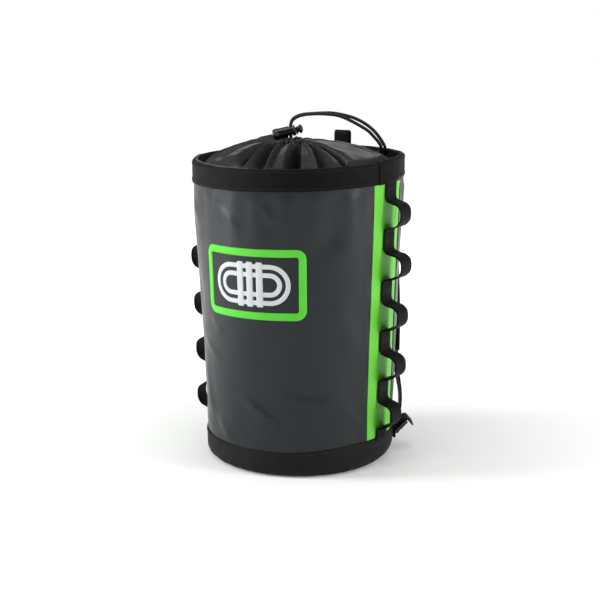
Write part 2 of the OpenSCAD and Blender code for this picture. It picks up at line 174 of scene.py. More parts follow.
# Creases in the wall: from and to as (angle, height), width, height of the fold
CREASES = [
    ((-9, 92), (14, 62), 6, 1.9),
    ((-30, 60), (-20, 38), 7, 1.3),
    ((-46, 128), (-40, 62), 9, 1.6),
    ((-44, 150), (-28, 136), 5, 1.1),
    ((-12, 60), (6, 40), 7, -1.2),
    ((20, 104), (40, 97), 5, -1.1),
    ((34, 84), (52, 92), 5, 0.9),
    ((52, 84), (63, 58), 7, 1.2),
    ((-55, 235), (-48, 190), 10, -1.1),
    ((-62, 150), (-70, 110), 10, -1.3),
    ((46, 200), (60, 150), 13, 1.2),
    ((30, 250), (52, 300), 14, -1.1),
    ((-20, 312), (-8, 290), 6, 1.3),
    ((-52, 316), (-46, 292), 6, 1.2),
    ((8, 318), (12, 298), 5, 0.9),
    ((-32, 182), (-22, 168), 6, 0.9),
    ((150, 110), (200, 70), 9, 1.4),
    ((205, 160), (235, 120), 10, -1.2),
    ((160, 60), (185, 45), 8, -1.0),
    ((120, 250), (140, 200), 12, 1.2),
    ((232, 280), (215, 220), 12, 1.3),
]


def wall_push(beta, z):
    """How far the soft wall stands off its plain shape. It is still at the rim, base and chains."""
    b = np.radians(beta)
    soft = ease(26, 70, z) * (1 - ease(300, 334, z))
    push = soft * (0.7 * np.sin(2 * b + 0.6 + z / 90) + 0.5 * np.sin(5 * b - z / 55)
                   + 0.22 * np.sin(9 * b + z / 23) * np.sin(z / 31 + 2 * b))
    under_rim = (1 - ease(322, 334.5, z)) * ease(235, 318, z)
    folds = np.sin(21 * b + 1.1 * np.sin(3 * b)) + 0.6 * np.sin(13 * b + 2)
    push += under_rim * folds * (0.75 - 0.3 * np.cos(b + 0.7))
    over_band = ease(30, 38, z) * (1 - ease(38, 95, z))
    push += over_band * 0.45 * np.sin(15 * b + 0.8)
    for (b0, z0), (b1, z1), width, rise in CREASES:
        ax, bx = radians(b0) * 118, radians(b1) * 118
        line = hypot(bx - ax, z1 - z0)
        turn = (beta - b0 + 180) % 360 - 180
        x = np.radians(turn) * 118
        y = z - z0
        t = (x * (bx - ax) + y * (z1 - z0)) / line
        side = (-x * (z1 - z0) + y * (bx - ax)) / line
        fade = ease(-line * 0.25, line * 0.35, t) * (1 - ease(line * 0.65, line * 1.25, t))
        push += rise * fade * np.exp(-(side / width) ** 2) * ease(30, 42, z)
    near_chain = np.minimum(np.abs(np.abs((beta + 180) % 360 - 180) - SIDE_MID) / 9, 1)
    return push * ease(0.75, 1, near_chain)


def lean(points):
    """The same points with the wall's lean, which grows from nothing near the base."""
    points = np.array(points, float)
    a = radians(LEAN_TOWARDS)
    towards = points[..., 0] * sin(a) - points[..., 1] * cos(a)
    grow = ease(60, RIM_FOOT, points[..., 2])
    points[..., 2] += LEAN * towards / RIM_R * grow
    points[..., :2] += np.multiply.outer(grow, LEAN_SHIFT)
    return points


def wall_point(beta, z, lift=0.0):
    beta, z = np.broadcast_arrays(np.asarray(beta, float), np.asarray(z, float))
    r = wall_r(z) + wall_push(beta, z) + lift
    b = np.radians(beta)
    return lean(np.stack([r * np.sin(b), -r * np.cos(b), z], axis=-1))


# ---- Meshes ----
def inside_out(mesh):
    """Whether a closed mesh's faces look inwards, from the sign of its volume."""
    mesh.calc_loop_triangles()
    corners = np.empty(len(mesh.loop_triangles) * 3, dtype=np.int32)
    mesh.loop_triangles.foreach_get("vertices", corners)
    places = np.empty(len(mesh.vertices) * 3, dtype=np.float32)
    mesh.vertices.foreach_get("co", places)
    places = places.reshape(-1, 3).astype(float)
    a, b, c = (places - places.mean(axis=0))[corners.reshape(-1, 3)].transpose(1, 0, 2)
    return np.sum(a * np.cross(b, c)) < 0


def piece(name, verts, faces, look, body="bag", slot=None, uvs=None, stands_for=(), smooth=True):
    """A mesh in millimetres that rides on a body, with a material in its material slot. The slot
    argument is not used.
    """
    mesh = bpy.data.meshes.new(name)
    mesh.from_pydata([tuple(v) for v in np.asarray(verts) * MM], [], [tuple(f) for f in faces])
    if uvs is not None:
        layer = mesh.uv_layers.new(name="cloth")
        flat = np.asarray([uv for face in uvs for uv in face], dtype=np.float32) * MM
        layer.data.foreach_set("uv", flat.ravel())
    mesh.polygons.foreach_set("use_smooth", [smooth] * len(mesh.polygons))
    mesh.materials.append(look)
    if inside_out(mesh):
        mesh.flip_normals()
    mesh.update()
    obj = bpy.data.objects.new(name, mesh)
    bpy.context.scene.collection.objects.link(obj)
    if body:
        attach(obj, body)
    if stands_for:
        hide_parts(*stands_for)
    return obj


def quads(nu, nv, around_u, around_v):
    """Faces of a grid, and the same faces by grid place without wrapping, for cloth coordinates."""
    faces, places = [], []
    for i in range(nu if around_u else nu - 1):
        for j in range(nv if around_v else nv - 1):
            spots = [(i, j), (i + 1, j), (i + 1, j + 1), (i, j + 1)]
            faces.append([(a % nu) * nv + b % nv for a, b in spots])
            places.append(spots)
    return faces, places


def normals(grid, around_u=False):
    """Outward direction at each point of a grid whose u runs to the right and v upwards."""
    if around_u:
        du = np.roll(grid, -1, axis=0) - np.roll(grid, 1, axis=0)
    else:
        du = np.gradient(grid, axis=0)
    dv = np.gradient(grid, axis=1)
    return unit(np.cross(du, dv))


def shell(name, grid, thickness, look, around_u=False, scale_uv=1.0, **rest):
    """A sheet of cloth with a thickness, the grid being its outer face."""
    nu, nv = grid.shape[:2]
    out = normals(grid, around_u)
    inner = grid - out * thickness
    verts = np.vstack([grid.reshape(-1, 3), inner.reshape(-1, 3)])
    wrapped = np.concatenate([grid, grid[:1]]) if around_u else grid
    mid = nv // 2
    u = along(wrapped[:, mid]) * scale_uv
    v = along(grid[nu // 2]) * scale_uv
    faces, places = quads(nu, nv, around_u, False)
    uvs = [[(u[a], v[b]) for a, b in spots] for spots in places]
    shift = nu * nv
    faces += [[k + shift for k in reversed(f)] for f in faces]
    uvs += [list(reversed(c)) for c in uvs]
    edges = [((i, j), (i + 1, j), flip) for i in range(nu if around_u else nu - 1)
             for j, flip in ((0, True), (nv - 1, False))]
    if not around_u:
        edges += [((i, j), (i, j + 1), flip) for j in range(nv - 1)
                  for i, flip in ((0, False), (nu - 1, True))]
    for (i, j), (k, m), flip in edges:
        a, b = i * nv + j, (k % nu) * nv + m
        face = [a, b, b + shift, a + shift]
        coords = [(u[i], v[j]), (u[k], v[m]), (u[k], v[m]), (u[i], v[j])]
        faces.append(face[::-1] if flip else face)
        uvs.append(coords[::-1] if flip else coords)
    return piece(name, verts, faces, look, uvs=uvs, **rest)


def loft(name, grid, u, v, look, **rest):
    """A closed solid through rings of points, u running round each ring and v along them."""
    n, m = grid.shape[:2]
    faces, places = quads(n, m, False, True)
    uvs = [[(u[b], v[a]) for a, b in spots] for spots in places]
    for face in (list(range(m)), [(n - 1) * m + k for k in reversed(range(m))]):
        faces.append(face)
        uvs.append([(u[k % m], v[0]) for k in face])
    return piece(name, grid.reshape(-1, 3), faces, look, uvs=uvs, **rest)


def lay_along(name, centre, side, out, width, thickness, look, crown=0.0, across=8, **rest):
    """A flat strip with rounded edges along a line, crown being its extra height in the middle."""
    half_w, half_t = width / 2, thickness / 2
    flat = np.linspace(-1, 1, across)
    rim = half_w - half_t * 0.7
    section = [(s * rim, half_t + crown * (1 - s * s)) for s in flat]
    section.append((half_w, 0))
    section += [(s * rim, -half_t) for s in flat[::-1]]
    section.append((-half_w, 0))
    section = np.asarray(section)
    grid = (
        centre[:, None]
        + side[:, None] * section[None, :, :1]
        + out[:, None] * section[None, :, 1:]
    )
    u = np.concatenate([section[:, 0], section[:1, 0]])
    return loft(name, grid, u, along(centre), look, **rest)


def carried(points, start=(1, 0, 0)):
    """Two directions across a line at each of its points, without any spin about it."""
    t = unit(np.gradient(points, axis=0))
    u = np.asarray(start, float)
    first = []
    for direction in t:
        u = u - (u @ direction) * direction
        u = u / np.linalg.norm(u)
        first.append(u)
    first = np.asarray(first)
    return first, np.cross(t, first)


def tube(name, points, radius, look, sides=12, **rest):
    """A round tube along a line, radius being one number or one for each point."""
    a, b = carried(points)
    radius = np.broadcast_to(np.asarray(radius, float), (len(points),))
    turn = np.linspace(0, 2 * pi, sides, endpoint=False)
    ring = a[:, None] * np.cos(turn)[None, :, None] + b[:, None] * np.sin(turn)[None, :, None]
    grid = points[:, None] + ring * radius[:, None, None]
    u = np.linspace(0, 2 * pi * radius.max(), sides + 1)
    return loft(name, grid, u, along(points), look, **rest)


def stitches(name, lines, look, pitch=3.4, length=2.5, thick=0.34, **rest):
    """Thread along lines of (points, outward directions), as short rounded bars."""
    verts, faces = [], []
    ring = [(cos(k * pi / 3), sin(k * pi / 3)) for k in range(6)]
    profile = [(-0.5, 0.25), (-0.36, 0.9), (0, 1.0), (0.36, 0.9), (0.5, 0.25)]
    for points, out in lines:
        s = along(points)
        count = int(s[-1] / pitch)
        for k in range(count):
            at = (k + 0.5) * s[-1] / count
            p = sampled(points, s, at)
            n = unit(sampled(out, s, at))
            t = unit(sampled(points, s, at + 0.5) - sampled(points, s, at - 0.5))
            side = np.cross(t, n)
            first = len(verts)
            for x, w in profile:
                sink = thick * 0.55 * (1 - (2 * x) ** 2)
                for c, d in ring:
                    verts.append(p + t * x * length + (side * c + n * d) * thick * w + n * sink)
            for i in range(len(profile) - 1):
                for j in range(6):
                    a, b = first + i * 6 + j, first + i * 6 + (j + 1) % 6
                    faces.append([a, b, b + 6, a + 6])
            faces.append([first + j for j in reversed(range(6))])
            faces.append([first + (len(profile) - 1) * 6 + j for j in range(6)])
    return piece(name, verts, faces, look, **rest)


# ---- Materials ----
class Nodes:
    """Short calls that add nodes to a node tree."""

    def __init__(self, tree):
        self.tree = tree

    def node(self, kind, inputs=(), **settings):
        made = self.tree.nodes.new(kind)
        for key, value in settings.items():
            setattr(made, key, value)
        for key, value in dict(inputs).items():
            if isinstance(value, bpy.types.NodeSocket):
                self.tree.links.new(value, made.inputs[key])
            else:
                made.inputs[key].default_value = value
        return made

    def maths(self, operation, a, b=0.0):
        return self.node("ShaderNodeMath", {0: a, 1: b}, operation=operation).outputs[0]

    def span(self, value, low, high, to_low, to_high, **settings):
        made = self.node("ShaderNodeMapRange", {
            "Value": value, "From Min": low, "From Max": high, "To Min": to_low, "To Max": to_high,
        }, **settings)
        return made.outputs["Result"]


class Look(Nodes):
    """A material with one principled shader."""

    def __init__(self, name, colour, rough, **sockets):
        self.mat = bpy.data.materials.new(name)
        self.mat.use_nodes = True
        super().__init__(self.mat.node_tree)
        self.shader = self.tree.nodes["Principled BSDF"]
        self.shader.inputs["Base Color"].default_value = (*colour, 1)
        self.shader.inputs["Roughness"].default_value = rough
        for socket, value in sockets.items():
            self.shader.inputs[socket.replace("_", " ")].default_value = value
        self.colour = colour
        coords = self.node("ShaderNodeTexCoord")
        self.place = coords.outputs["Object"]
        self.cloth = coords.outputs["UV"]
        self.height = None

    def noise(self, scale, detail=3.0, stretch=None):
        vector = self.place
        if stretch:
            vector = self.node("ShaderNodeMapping", {"Vector": vector, "Scale": stretch}).outputs[0]
        settings = {"Vector": vector, "Scale": scale, "Detail": detail, "Roughness": 0.5}
        return self.node("ShaderNodeTexNoise", settings).outputs["Fac"]

    def bump(self, height, depth, strength=1.0):
        """Adds relief, depth being in metres for a height from 0 to 1."""
        made = self.node("ShaderNodeBump", {
            "Height": height, "Distance": depth, "Strength": strength,
        })
        if self.height:
            self.tree.links.new(self.height, made.inputs["Normal"])
        self.height = made.outputs["Normal"]
        self.tree.links.new(self.height, self.shader.inputs["Normal"])

    def vary_colour(self, value, dark, light):
        """Base colour from dark to light times itself, as value goes from 0 to 1."""
        low = [c * dark for c in self.colour]
        high = [min(1, c * light) for c in self.colour]
        ramp = self.node("ShaderNodeMix", {0: value}, data_type="RGBA")
        ramp.inputs[6].default_value = (*low, 1)
        ramp.inputs[7].default_value = (*high, 1)
        self.tree.links.new(ramp.outputs[2], self.shader.inputs["Base Color"])

    def vary_rough(self, value, low, high):
        self.tree.links.new(self.span(value, 0.3, 0.7, low, high), self.shader.inputs["Roughness"])

    def waves(self, pitch_u, pitch_v):
        """Sines along the cloth's two directions, with the given distances in metres."""
        parts = self.node("ShaderNodeSeparateXYZ", {0: self.cloth})
        a = self.maths("SINE", self.maths("MULTIPLY", parts.outputs[0], 2 * pi / pitch_u))
        b = self.maths("SINE", self.maths("MULTIPLY", parts.outputs[1], 2 * pi / pitch_v))
        return a, b

    def weave(self, pitch_u, pitch_v):
        """0 to 1 over a plain weave, with the same distances."""
        return self.span(self.maths("MULTIPLY", *self.waves(pitch_u, pitch_v)), -1, 1, 0, 1)


def woven(name, colour, rough, pitch=0.0016, rib=0.0011, depth=0.0003, **sockets):
    look = Look(name, colour, rough, **sockets)
    basket = look.weave(pitch, rib)
    fluff = look.noise(700, 3)
    # The colour follows the weave's relief times a fibre noise: painted shade in the low threads
    # and painted highlight on the raised crossings, with a random fibre tone
    look.vary_colour(look.maths("MULTIPLY", basket, fluff), 0.35, 3.2)
    look.vary_rough(look.noise(90, 3), rough - 0.06, rough + 0.06)
    look.bump(basket, depth, 0.8)
    look.bump(fluff, 0.0002, 0.35)
    return look.mat


def braid(name, colour, rough, around, turns, depth=0.0004):
    """Braided cord: two sets of strands that cross at a slant."""
    look = Look(name, colour, rough, Sheen_Weight=0.06, Specular_IOR_Level=0.22)
    parts = look.node("ShaderNodeSeparateXYZ", {0: look.cloth})
    u = look.maths("MULTIPLY", parts.outputs[0], 2 * pi * turns / around)
    v = look.maths("MULTIPLY", parts.outputs[1], 2 * pi / 0.0026)
    left = look.maths("SINE", look.maths("ADD", u, v))
    right = look.maths("SINE", look.maths("SUBTRACT", u, v))
    height = look.span(look.maths("MAXIMUM", left, right), -1, 1, 0, 1)
    # Painted shade and highlight: the colour is darker in the grooves between strands and lighter
    # on their crowns, following the braid's relief
    look.vary_colour(height, 0.5, 2.0)
    look.bump(height, depth, 0.7)
    look.bump(look.noise(1500, 2), 0.0001, 0.4)
    return look.mat


def plain(name, colour, rough, tint, wear, *grains, weave=None, **sockets):
    """An even surface. tint is a noise with its darkest and lightest, wear one with how much
    smoother and rougher, each grain one with its relief, and weave a pitch with its relief."""
    look = Look(name, colour, rough, **sockets)
    look.vary_colour(look.noise(*tint[:2]), *tint[2:])
    look.vary_rough(look.noise(*wear[:2]), rough - wear[2], rough + wear[3])
    if weave:
        look.bump(look.weave(weave[0], weave[0]), *weave[1:])
    for grain in grains:
        look.bump(look.noise(*grain[:-2]), *grain[-2:])
    return look.mat


def tarpaulin(name, colour, rough, **sockets):
    return plain(name, colour, rough, (26, 4, 0.88, 1.14), (60, 4, 0.05, 0.07),
                 (900, 2, 0.00008, 0.4), (140, 3, 0.0003, 0.35),
                 weave=(0.0022, 0.00003, 0.5), **sockets)


def nylon(name, colour, rough, **sockets):
    return plain(name, colour, rough, (40, 4, 0.85, 1.2), (75, 3, 0.05, 0.08),
                 (190, 4, (1, 1, 1.6), 0.0006, 0.4), weave=(0.0011, 0.00004, 0.35), **sockets)


def moulded(name, colour, rough, **sockets):
    return plain(name, colour, rough, (120, 3, 0.85, 1.2), (160, 4, 0.06, 0.1),
                 (1400, 2, 0.00005, 0.4), **sockets)


def film(name, colour, rough, **sockets):
    return plain(name, colour, rough, (55, 4, 0.93, 1.06), (80, 3, 0.04, 0.05),
                 (1000, 2, 0.00005, 0.4), (140, 3, 0.0002, 0.3), **sockets)


def metal(name, colour, rough):
    return plain(name, colour, rough, (300, 3, 0.8, 1.15), (220, 4, 0.08, 0.12),
                 (900, 3, (1, 1, 6), 0.00004, 0.5), Metallic=1.0)


def mesh_fabric(name, colour):
    """Spacer mesh, with a grid of small round openings."""
    look = Look(name, colour, 0.85, Sheen_Weight=0.08, Specular_IOR_Level=0.2)
    a, b = look.waves(0.0032, 0.0032)
    dots = look.span(look.maths("ADD", a, b), -0.6, 1.2, 0, 1)
    # Painted shade: the colour is darker in the openings and lighter on the mesh between them,
    # following the same relief as the bump
    look.vary_colour(dots, 0.35, 1.6)
    look.bump(dots, 0.0006, 0.9)
    look.bump(look.noise(600, 3), 0.0002, 0.4)
    return look.mat


LIME = (0.14, 0.6, 0.048)
GREY = (0.0125, 0.0158, 0.0182)
tarp_grey = tarpaulin("tarp_grey", GREY, 0.34, Specular_IOR_Level=0.27)
tarp_green = tarpaulin("tarp_green", LIME, 0.42, Specular_IOR_Level=0.25)
base_cloth = woven("base_fabric", (0.0085, 0.0085, 0.009), 0.66, 0.0013, 0.0013, 0.00012,
                   Specular_IOR_Level=0.15)
webbing = woven("webbing", (0.0034, 0.0034, 0.0036), 0.58, 0.0026, 0.0019, 0.0005,
                Specular_IOR_Level=0.09, Sheen_Weight=0.012)
thread = film("thread", (0.012, 0.012, 0.013), 0.6, Specular_IOR_Level=0.25)
collar_look = nylon("collar_nylon", (0.0175, 0.0175, 0.019), 0.38, Specular_IOR_Level=0.2,
                    Sheen_Weight=0.03)
cord_look = braid("cord", (0.008, 0.008, 0.008), 0.6, pi * CORD_D * MM, 6)
plastic = moulded("moulded_plastic", (0.0042, 0.0042, 0.0036), 0.17, Specular_IOR_Level=0.55)
hoop_plastic = moulded("hoop_plastic", (0.02, 0.02, 0.02), 0.5)
steel = metal("spring_steel", (0.55, 0.55, 0.55), 0.35)
black_steel = metal("eyelet_metal", (0.12, 0.12, 0.12), 0.42)
badge_dark = film("badge_dark", (0.0165, 0.019, 0.02), 0.5, Specular_IOR_Level=0.25)
badge_green = film("badge_green", (0.1, 0.62, 0.04), 0.5, Specular_IOR_Level=0.25)
badge_pale = film("badge_pale", (0.62, 0.65, 0.66), 0.55, Specular_IOR_Level=0.3)
strap_cloth = woven("strap_fabric", (0.009, 0.009, 0.01), 0.7, 0.0014, 0.0014, 0.0002,
                    Specular_IOR_Level=0.2)
strap_mesh = mesh_fabric("strap_mesh", (0.016, 0.016, 0.017))


def repaint(node, look):
    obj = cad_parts[node]
    for place in obj.material_slots:
        place.material = look
    if not obj.material_slots:
        obj.data.materials.append(look)


# ---- Camera ----
CAMERA_TURN = 26.0
CAMERA_OUT = 1.607
CAMERA_Z = 0.549
CAMERA_DIP = 12.73
camera = bpy.data.objects.new("camera", bpy.data.cameras.new("camera"))
camera.data.lens = 82.0
camera.data.sensor_width = 36.0
turn = radians(CAMERA_TURN)
camera.location = (CAMERA_OUT * sin(turn), -CAMERA_OUT * cos(turn), CAMERA_Z)
camera.rotation_euler = (radians(90 - CAMERA_DIP), 0, turn)
bpy.context.scene.collection.objects.link(camera)
bpy.context.scene.camera = camera

# ---- Drawcord ----
cord_line = evenly(spline(CORD_ROUTE, 24), 1.2)
drawcord = tube(
    "drawcord_braid", cord_line, CORD_D / 2, cord_look, 14, slot="cord", stands_for=["drawcord"]
)


# ---- Wall panels ----
def panel(name, start, end, look, slot, node, lap):
    """A wall panel, lap being how far its edges stand over its neighbours."""
    beta = np.linspace(start, end, int((end - start) / 0.8) + 1)
    z = np.concatenate([np.linspace(14, 40, 11), np.linspace(42.5, PANEL_TOP, 127)])
    b, h = np.meshgrid(beta, z, indexing="ij")
    edge = np.minimum(b - start, end - b)
    lift = lap * (1 - 0.75 * ease(3.0, 6.5, edge)) if lap else 0.0
    lift = lift * ease(BAND_TOP, BAND_TOP + 8, h) * (1 - ease(324, RIM_FOOT, h))
    return shell(name, wall_point(b, h, lift), PANEL_T, look, slot=slot, stands_for=[node])


front_edge, rear_edge = SIDE_MID - SIDE_HALF + 0.7, SIDE_MID + SIDE_HALF - 0.7
panel("wall_front", -front_edge, front_edge, tarp_grey, "tarp_grey", "front_panel", PANEL_LAP)
panel("wall_back", rear_edge, 360 - rear_edge, tarp_grey, "tarp_grey", "back_panel", PANEL_LAP)
for word, sign in (("right", 1), ("left", -1)):
    edges = sorted((sign * (front_edge - 3.5), sign * (rear_edge + 3.5)))
    panel(f"wall_side_{word}", *edges, tarp_green, "tarp_green", f"side_panel_{word}", 0)


# ---- Rim ----
def lathe_grid(profile, beta):
    """Points round the bag from a profile of (radius, height) and angles."""
    b = np.radians(beta)[:, None]
    r, z = profile[None, :, 0], profile[None, :, 1]
    return np.stack([r * np.sin(b), -r * np.cos(b), z + 0 * b], axis=-1)


def rim_profile(lift=0.0, foot=RIM_FOOT, inner_foot=RIM_FOOT):
    mid, half = (RIM_R + RIM_IN) / 2, (RIM_R - RIM_IN) / 2
    outer = [(RIM_R + lift, z) for z in np.linspace(foot, RIM_TOP - half, 12)]
    top = [
        (mid + (half + lift) * cos(a), RIM_TOP - half + (half + lift) * sin(a))
        for a in np.linspace(0, pi, 11)[1:-1]
    ]
    inner = [(RIM_IN - lift, z) for z in np.linspace(RIM_TOP - half, inner_foot, 10)]
    return np.asarray(outer + top + inner)


def wobble_rim(grid, beta):
    b = np.radians(beta)[:, None]
    wave = 0.22 * np.sin(9 * b) + 0.16 * np.sin(23 * b + 1)
    foot = 1 - ease(RIM_FOOT, RIM_FOOT + 8, grid[..., 2])
    from_chain = np.abs(np.abs((beta[:, None] + 180) % 360 - 180) - SIDE_MID)
    over_chain = 1 - ease(5.0, 9.5, from_chain)
    over_chain = over_chain * (1 - ease(RIM_FOOT, RIM_FOOT + 19, grid[..., 2]))
    out = unit(grid * (1, 1, 0))
    outside = np.hypot(grid[..., 0], grid[..., 1]) > (RIM_R + RIM_IN) / 2
    push = wave * 0.6 + (foot * 0.25 + over_chain * 1.9) * outside
    grid = grid + out * push[..., None]
    grid[..., 2] += wave * 0.8
    for corner, spread, rise in RIM_CORNERS:
        turn = np.abs((beta[:, None] - corner + 180) % 360 - 180)
        grid[..., 2] += rise * np.clip(1 - turn / spread, 0, 1) ** 1.5
    return lean(grid)


round_beta = np.linspace(0, 360, 480, endpoint=False)
rim_grid = wobble_rim(lathe_grid(rim_profile(), round_beta), round_beta)
shell("rim_webbing", rim_grid, WEB_T * 0.85, webbing, around_u=True, slot="webbing",
      stands_for=["rim_binding"])
join_beta = np.linspace(*JOIN_SPAN, 22)
join_grid = wobble_rim(lathe_grid(rim_profile(1.0, RIM_FOOT - 0.6, 346), join_beta), join_beta)
shell("rim_join", join_grid, 0.9, webbing, slot="webbing")


def wobble_line(points, beta):
    """Carries a line on the rim with the rim's own small waves."""
    if points[0, 2] < RIM_FOOT:
        return points
    return wobble_rim(points[:, None], beta)[:, 0]


def ring_line(radius, z, start=0.0, end=360.0):
    """A line round the bag at one height, with its outward directions."""
    beta = np.linspace(start, end, int(abs(end - start) * 2) + 2)
    b = np.radians(beta)
    out = np.stack([np.sin(b), -np.cos(b), 0 * b], axis=1)
    points = out * radius
    points[:, 2] = z
    return wobble_line(points, beta), out


def up_line(beta, radius, z0, z1):
    b = radians(beta)
    out = np.array([[sin(b), -cos(b), 0]] * 8)
    points = out * radius
    points[:, 2] = np.linspace(z0, z1, 8)
    return wobble_line(points, np.full(8, beta)), out


rim_stitches = [
    ring_line(RIM_R + 0.05, RIM_FOOT + 2.8, 87.5, 431), ring_line(RIM_R + 0.1, RIM_TOP - 3.6),
    *(up_line(beta, RIM_R + 1.05, RIM_FOOT + 2, RIM_TOP - 3) for beta in JOIN_STITCHES),
]
inner_points, inner_out = ring_line(RIM_IN - 0.1, RIM_FOOT + 3.2)
rim_stitches.append((inner_points, -inner_out))
stitches("rim_stitching", rim_stitches, thread, slot="webbing")


# ---- Base band ----
def band_taller(beta):
    """Extra height of the band's top edge."""
    return BAND_RISE * ease(15, 62, beta) * (1 - ease(100, 150, beta))


def band_grid(beta):
    foot_top = wall_r(BAND_FOOT) + BAND_T
    inner = foot_top - FOOT_R
    profile = [(wall_r(BAND_TOP) + BAND_T, BAND_TOP)]
    profile += [(wall_r(BAND_TOP) + BAND_T - 0.02 * k, BAND_TOP - 1.6 * k) for k in range(1, 8)]
    profile += [(foot_top, BAND_FOOT)]
    profile += [
        (inner + FOOT_R * cos(a), FOOT_R - FOOT_R * sin(a)) for a in np.linspace(0, pi / 2, 15)
    ]
    profile += [(r, 0.02) for r in (100.5, 98, 94)]
    grid = lathe_grid(np.asarray(profile[::-1], float), beta)
    b = np.radians(beta)[:, None]
    z = grid[..., 2]
    puckers = np.abs(np.sin(19 * b + 1.4 * np.sin(5 * b))) ** 0.6 - 0.6
    low = np.exp(-((z - 5) / 4.5) ** 2) * (z > 0.1)
    sag = 0.5 * np.sin(7 * b + 1) * ease(2, 14, z) * (1 - ease(22, 29, z))
    out = unit(grid * (1, 1, 0))
    grid = grid + out * (1.1 * puckers * low - 0.35 * low + sag * 0.6)[..., None]
    grid[..., 2] += 0.7 * np.clip(puckers, -1, 0) * -1 * low
    grid[..., 2] += band_taller(beta)[:, None] * ease(BAND_FOOT, BAND_TOP, z)
    rounder = ease(50, 80, beta)[:, None] * (1 - ease(110, 150, beta))[:, None]
    grid -= out * (2.6 * rounder * (1 - ease(3, 17, z)) * (z > 0.1))[..., None]
    return grid


shell("base_band_cloth", band_grid(round_beta), 1.0, base_cloth, around_u=True,
      slot="base_fabric", stands_for=["base_band"])
band_line, band_out = ring_line(wall_r(BAND_TOP) + BAND_T + 0.05, BAND_TOP - 2.4)
band_line[:, 2] += band_taller(np.linspace(0, 360, len(band_line))) * 0.94
stitches("band_stitching", [(band_line, band_out)], thread, slot="base_fabric")


# ---- Collar ----
# The gathered cloth hangs between straight lines that run from the throat to the rim, each given
# as its angle on the throat, its angle at the rim, how far it lies under the plain dome, and how
# far out it reaches. A high line is a ridge and a deep one is the bottom of a fold.
PLEATS = [
    (-150, -106, 1.0, 1), (-143, -96, 7.0, 0.80), (-136, -86, 0.6, 1), (-128, -74, 6.5, 0.85),
    (-122, -64, 0.4, 1), (-117, -56, 13.0, 0.92), (-112, -49, 0.4, 1), (-106, -40, 6.0, 0.92),
    (-103, -34, 0.5, 1), (-98, -25, 0.6, 1), (-92, -20, 9.0, 0.90), (-84, -13, 34.0, 0.88),
    (-72, -8, -2.0, 1), (-50, -2, 19.0, 0.95), (-38, 1, 15.0, 1), (-14, 5, 0.6, 1),
    (2, 8, 7.5, 1), (20, 10.5, 1.0, 1), (42, 15.5, -2.5, 1), (64, 17.5, 9.0, 1),
    (74, 19.5, 42.0, 1.15), (88, 25.8, 40.0, 1.15), (93, 27, -1.4, 1), (98, 32, 3.4, 1),
    (102, 37.5, -1.0, 1), (105, 40, 19.0, 1), (109, 44, 10.0, 1), (112, 50, 1.0, 1),
    (115, 55, 4.0, 1), (117, 58, 13.0, 1), (119, 60, -0.5, 1), (121, 62.5, 4.6, 0.85),
    (123, 66, 0.4, 1), (128, 84, 1.6, 0.90), (133, 102, 0.8, 1), (140, 114, 4.2, 0.85),
    (147, 126, 1.2, 1), (155, 140, 5.5, 0.85), (163, 152, 1.2, 1), (172, 166, 6.5, 0.85),
    (180, 178, 1.2, 1), (186, 191, 6.0, 0.85), (191, 203, 1.2, 1), (195, 215, 6.5, 0.85),
    (199, 228, 1.2, 1), (203, 238, 6.0, 0.85), (206, 247, 1.2, 1),
]
FOLD_SOFTNESS = 0.45
SHOULDER = (64, 112)
THROAT_PLEATS = 13


def dome_plan(angle, out):
    """Places seen from above, for angles round the dome and distances out from 0 to 1."""
    b = np.radians(angle)
    run = THROAT_R + (RIM_IN - 0.4 - THROAT_R) * out
    x = THROAT[0] * (1 - out) + run * np.sin(b)
    y = THROAT[1] * (1 - out) - run * np.cos(b)
    return x, y


def pleat_angles(at_throat, at_rim, outs):
    """Angle of a pleat's line where it crosses each ring of the dome, straight in plan."""
    start = np.array(dome_plan(at_throat, 0.0))
    end = np.array(dome_plan(at_rim, 0.93))
    share = np.linspace(0, 1.3, 400)
    x, y = (start[:, None] + (end - start)[:, None] * share)
    ring = np.zeros_like(x)
    for _ in range(30):
        run = np.hypot(x - THROAT[0] * (1 - ring), y - THROAT[1] * (1 - ring))
        ring = np.clip((run - THROAT_R) / (RIM_IN - 0.4 - THROAT_R), 0, 1.2)
    turn = np.degrees(np.arctan2(x - THROAT[0] * (1 - ring), -(y - THROAT[1] * (1 - ring))))
    turn = turn + 360 * np.round((at_rim - turn) / 360)
    return np.interp(outs, ring, turn)


def fold_depth(angle, t):
    """How far the cloth lies under the plain dome, for arrays of angles and of places outwards."""
    depth = np.zeros_like(t)
    lines = np.array([pleat_angles(a, b, t[0]) for a, b, _, _ in PLEATS])
    for j in range(t.shape[1]):
        out = t[0, j]
        at = np.maximum.accumulate(lines[:, j])
        grow = float(ease(-0.05, 0.28, out))
        deep = [d * grow * (1 - float(ease(r * 0.72, r * 1.06, out))) for _, _, d, r in PLEATS]
        turns = (angle[:, j] - at[0]) % 360 + at[0]
        row = np.interp(turns, [*at, at[0] + 360], deep + deep[:1])
        run = THROAT_R + (RIM_IN - THROAT_R) * out
        spread = max(1, int(round(FOLD_SOFTNESS / (radians(360 / len(row)) * run))))
        kernel = np.hanning(2 * spread + 3)[1:-1]
        padded = np.concatenate([row[-spread:], row, row[:spread]])
        depth[:, j] = np.convolve(padded, kernel / kernel.sum(), mode="valid")
    return depth


def frill(b):
    """0 to 1 round the throat, with sharp folds between rounded pleats."""
    return np.abs(np.sin(b * THROAT_PLEATS / 2 + 0.9 * np.sin(2 * b) + 0.5 * np.sin(5 * b))) ** 0.8


